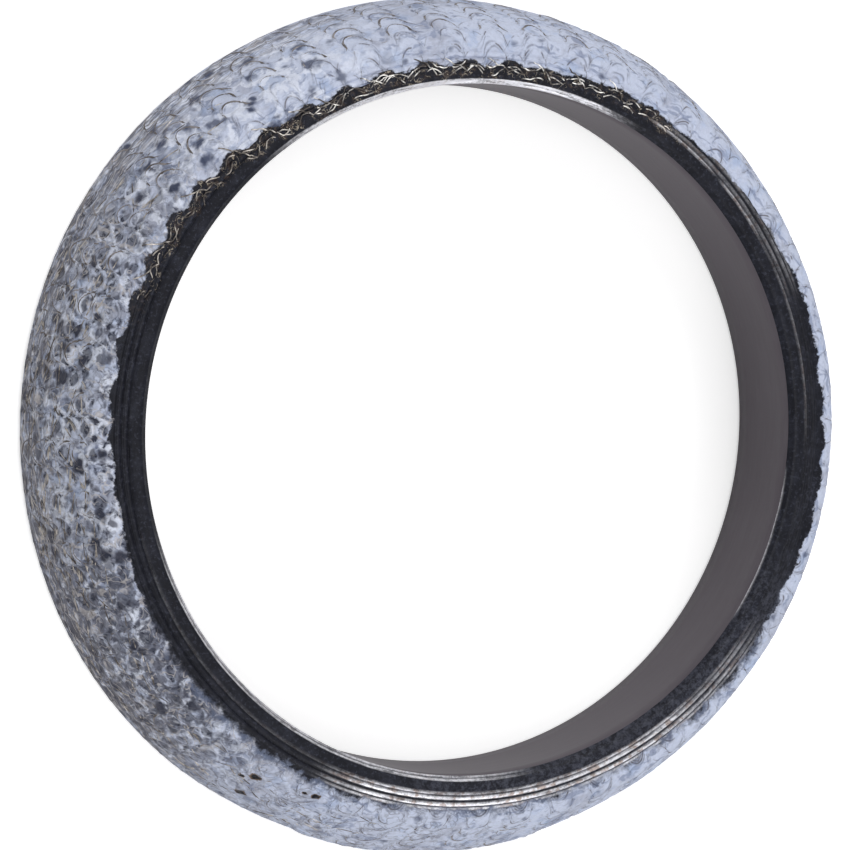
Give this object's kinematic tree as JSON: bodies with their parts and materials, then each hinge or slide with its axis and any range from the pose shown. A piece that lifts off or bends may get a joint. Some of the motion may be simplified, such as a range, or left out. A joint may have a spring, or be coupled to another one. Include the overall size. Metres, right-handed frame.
{
  "type": "exhaust gasket",
  "caption": "Ring-shaped ball-joint exhaust gasket of knitted wire and graphite, with a spherical seat, a plain bore and flat end faces.",
  "frame": {"origin": "on the bore's axis, in the plane of the large end face that the ring stands on", "axes": "+Z along the bore's axis, from the large end (heel) to the small end (nose)"},
  "size_m": [0.081, 0.081, 0.0119],
  "materials": {
    "gasket_ring": "pale dry-film coat over pressed knitted steel wire and graphite, with a near-black end face and a smooth grey bore"
  },
  "bodies": {
    "root": {"gasket_ring": "gasket_ring"}
  },
  "joints": []
}
